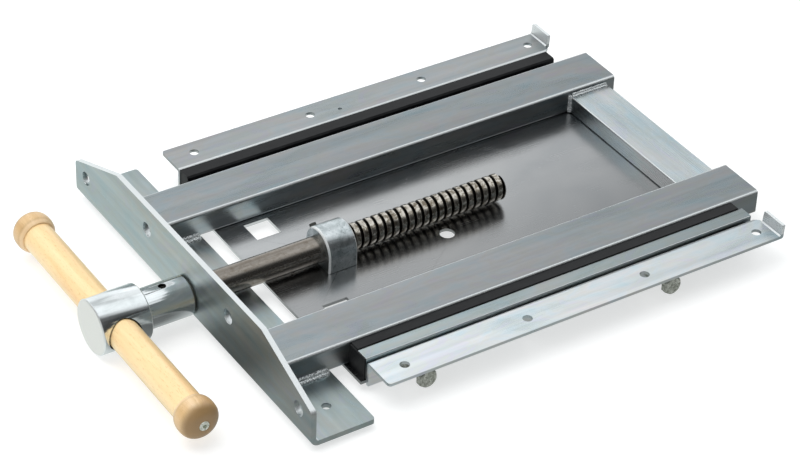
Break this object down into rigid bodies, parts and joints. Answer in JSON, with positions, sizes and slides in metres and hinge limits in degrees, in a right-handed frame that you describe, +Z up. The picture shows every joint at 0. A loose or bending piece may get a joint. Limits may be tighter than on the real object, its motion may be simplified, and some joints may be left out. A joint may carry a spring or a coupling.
{
  "type": "under-bench woodworking vise",
  "caption": "Bench vise that screws under a bench top: a spindle with a wooden sliding handle moves a front plate on two guide tubes between flanged rails.",
  "frame": {"origin": "centre of the bench screw holes, in the plane of the two mounting flanges' top faces", "axes": "+Z up, towards the underside of the bench top; -Y towards the user, the way the vise opens; +X to the user's right, where the adjusting bolts are"},
  "size_m": [0.4152, 0.6125, 0.0735],
  "materials": {
    "zinc_plated_sheet": "satin",
    "base_sheet": "satin",
    "weld_metal": "rough",
    "black_plastic": "matte",
    "oiled_steel": "satin",
    "pitted_zinc": "rough",
    "turned_zinc": "polished",
    "dark_fastener": "satin",
    "light_beech": "lacquered",
    "knob_wood": "lacquered"
  },
  "bodies": {
    "fixed_frame": {"base_plate": "base_sheet", "left_mounting_rail": "zinc_plated_sheet", "right_mounting_rail": "zinc_plated_sheet", "rail_weld_beads": "weld_metal", "left_slide_liner": "black_plastic", "left_liner_screws": "dark_fastener", "spindle_nut": "pitted_zinc", "nut_screws": "dark_fastener", "nut_grease_screw": "dark_fastener", "bolt_lock_nuts": "dark_fastener"},
    "adjusting_gib": {"adjusting_bar": "zinc_plated_sheet", "right_slide_liner": "black_plastic"},
    "front_bolt": {"adjusting_bolt_front": "dark_fastener"},
    "rear_bolt": {"adjusting_bolt_rear": "dark_fastener"},
    "carriage": {"front_plate": "zinc_plated_sheet", "left_guide_tube": "zinc_plated_sheet", "right_guide_tube": "zinc_plated_sheet", "rear_crossbar": "zinc_plated_sheet", "foot_weld_beads": "weld_metal", "crossbar_weld_beads": "weld_metal", "front_thrust_washer": "oiled_steel", "rear_thrust_washer": "oiled_steel"},
    "spindle": {"spindle_rod": "oiled_steel", "retaining_ring": "oiled_steel", "handle_hub": "turned_zinc", "hub_set_screw": "dark_fastener"},
    "handle": {"handle_bar": "light_beech", "handle_knob_left": "knob_wood", "handle_knob_right": "knob_wood", "knob_screws": "turned_zinc"}
  },
  "joints": [
    {"name": "carriage_slide", "type": "slide", "parent": "fixed_frame", "child": "carriage", "axis": [0, -1, 0], "range_m": [0, 0.17001]},
    {"name": "spindle_turn", "type": "hinge", "parent": "carriage", "child": "spindle", "pos_m": [0, -0.368, -0.0045], "axis": [0, -1, 0], "range_deg": [0, 7650]},
    {"name": "handle_slide", "type": "slide", "parent": "spindle", "child": "handle", "axis": [1, 0, 0], "range_m": [-0.1113, 0.1113]},
    {"name": "gib_adjust", "type": "slide", "parent": "fixed_frame", "child": "adjusting_gib", "axis": [1, 0, 0], "range_m": [0, 0.0008]},
    {"name": "front_bolt_turn", "type": "hinge", "parent": "adjusting_gib", "child": "front_bolt", "pos_m": [0.164, -0.1722, -0.0125], "axis": [1, 0, 0], "range_deg": [0, 192.1]},
    {"name": "rear_bolt_turn", "type": "hinge", "parent": "adjusting_gib", "child": "rear_bolt", "pos_m": [0.164, 0.0848, -0.0125], "axis": [1, 0, 0], "range_deg": [0, 192.1]}
  ],
  "couplings": [
    {"joint": "carriage_slide", "follows": "spindle_turn", "m_per_rad": 0.0012732},
    {"joint": "front_bolt_turn", "follows": "gib_adjust", "rad_per_m": 4188.8},
    {"joint": "rear_bolt_turn", "follows": "gib_adjust", "rad_per_m": 4188.8}
  ]
}
